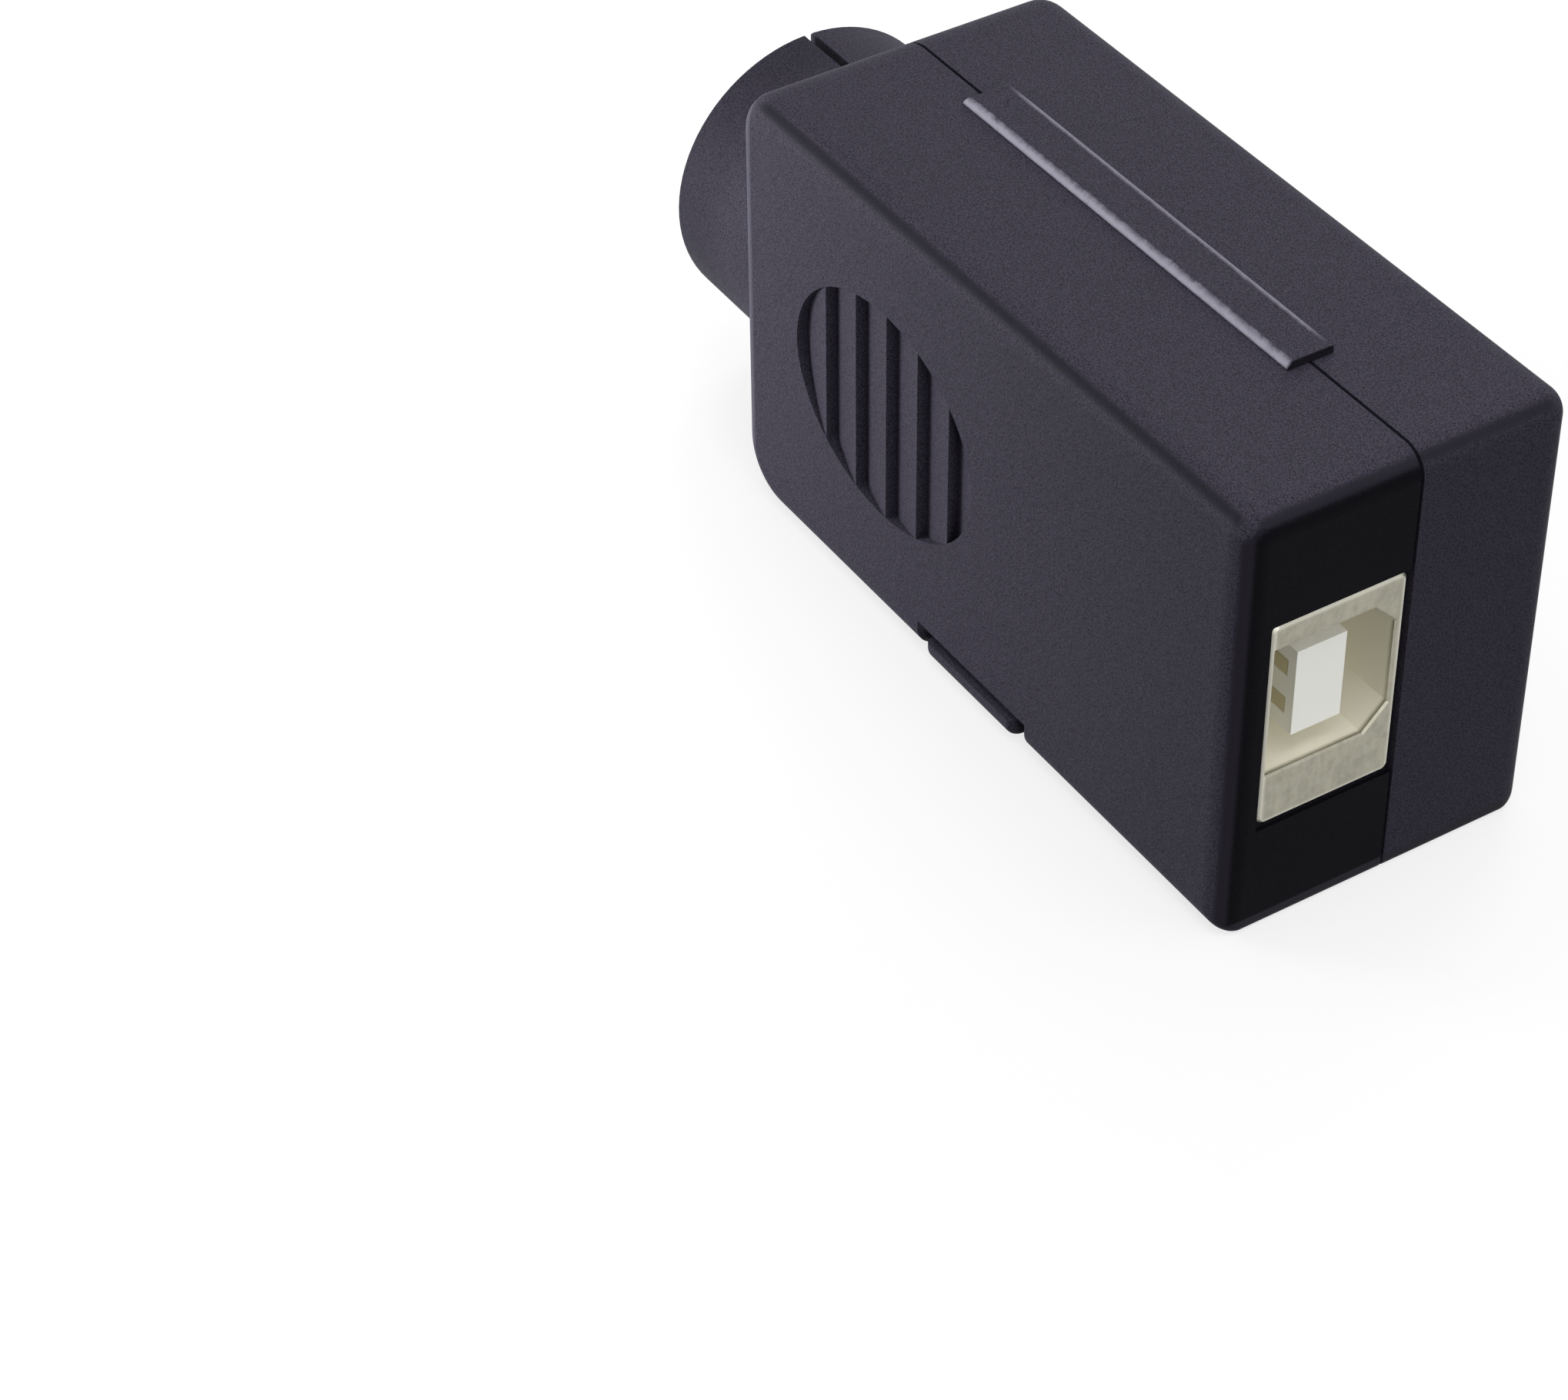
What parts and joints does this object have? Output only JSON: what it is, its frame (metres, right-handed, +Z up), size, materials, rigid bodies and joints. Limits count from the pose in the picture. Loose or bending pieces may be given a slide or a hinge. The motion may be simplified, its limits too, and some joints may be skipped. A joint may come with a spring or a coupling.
{
  "type": "usb adapter plug",
  "caption": "Black moulded adapter plug with a square USB type B socket in one end, a round split collar at the other, hinged half shells and a snap tongue.",
  "frame": {"origin": "on the collar's axis, in the plane of the housing's back face", "axes": "+X along the housing towards the USB socket, +Y across the seam towards the plain right shell, +Z up with the hinge band on top"},
  "size_m": [0.058, 0.0211, 0.0285],
  "materials": {
    "black_plastic": "satin",
    "hinge_film": "satin",
    "nickel_sheet": "satin",
    "white_plastic": "satin",
    "dark_plastic": "satin",
    "gold_contact": "satin",
    "board_laminate": "satin",
    "chip_plastic": "matt",
    "ceramic": "matt",
    "lead_cover": "satin"
  },
  "bodies": {
    "left_half": {"left_shell": "black_plastic", "usb_shield": "nickel_sheet", "usb_insulator": "white_plastic", "usb_contact_1": "gold_contact", "usb_contact_2": "gold_contact", "usb_contact_3": "gold_contact", "usb_contact_4": "gold_contact", "circuit_board": "board_laminate", "interface_chip": "chip_plastic", "crystal": "nickel_sheet", "voltage_regulator": "chip_plastic", "capacitor_1": "ceramic", "capacitor_2": "ceramic", "capacitor_3": "ceramic", "resistor_1": "chip_plastic", "resistor_2": "chip_plastic", "resistor_3": "chip_plastic", "resistor_4": "chip_plastic", "contact_insert": "dark_plastic", "contact_sleeve_1": "gold_contact", "contact_sleeve_2": "gold_contact", "contact_sleeve_3": "gold_contact", "contact_sleeve_4": "gold_contact", "contact_sleeve_5": "gold_contact", "wire_lead_1": "lead_cover", "wire_lead_2": "lead_cover", "wire_lead_3": "lead_cover", "wire_lead_4": "lead_cover", "wire_lead_5": "lead_cover"},
    "band": {"hinge_band": "hinge_film"},
    "right_half": {"right_shell": "black_plastic"},
    "latch": {"latch_tongue": "black_plastic"}
  },
  "joints": [
    {"name": "band_fold", "type": "hinge", "parent": "left_half", "child": "band", "pos_m": [0.0237, -0.0015, 0.0149], "axis": [1, 0, 0], "range_deg": [0, 90]},
    {"name": "shell_fold", "type": "hinge", "parent": "band", "child": "right_half", "pos_m": [0.0237, 0.0015, 0.0149], "axis": [1, 0, 0], "range_deg": [0, 90]},
    {"name": "latch_flex", "type": "hinge", "parent": "right_half", "child": "latch", "pos_m": [0.0245, 0.0024, -0.01226], "axis": [1, 0, 0], "range_deg": [0, 8], "stiffness_Nm_per_rad": 0.02}
  ],
  "couplings": [
    {"joint": "band_fold", "follows": "shell_fold", "ratio": 1}
  ]
}
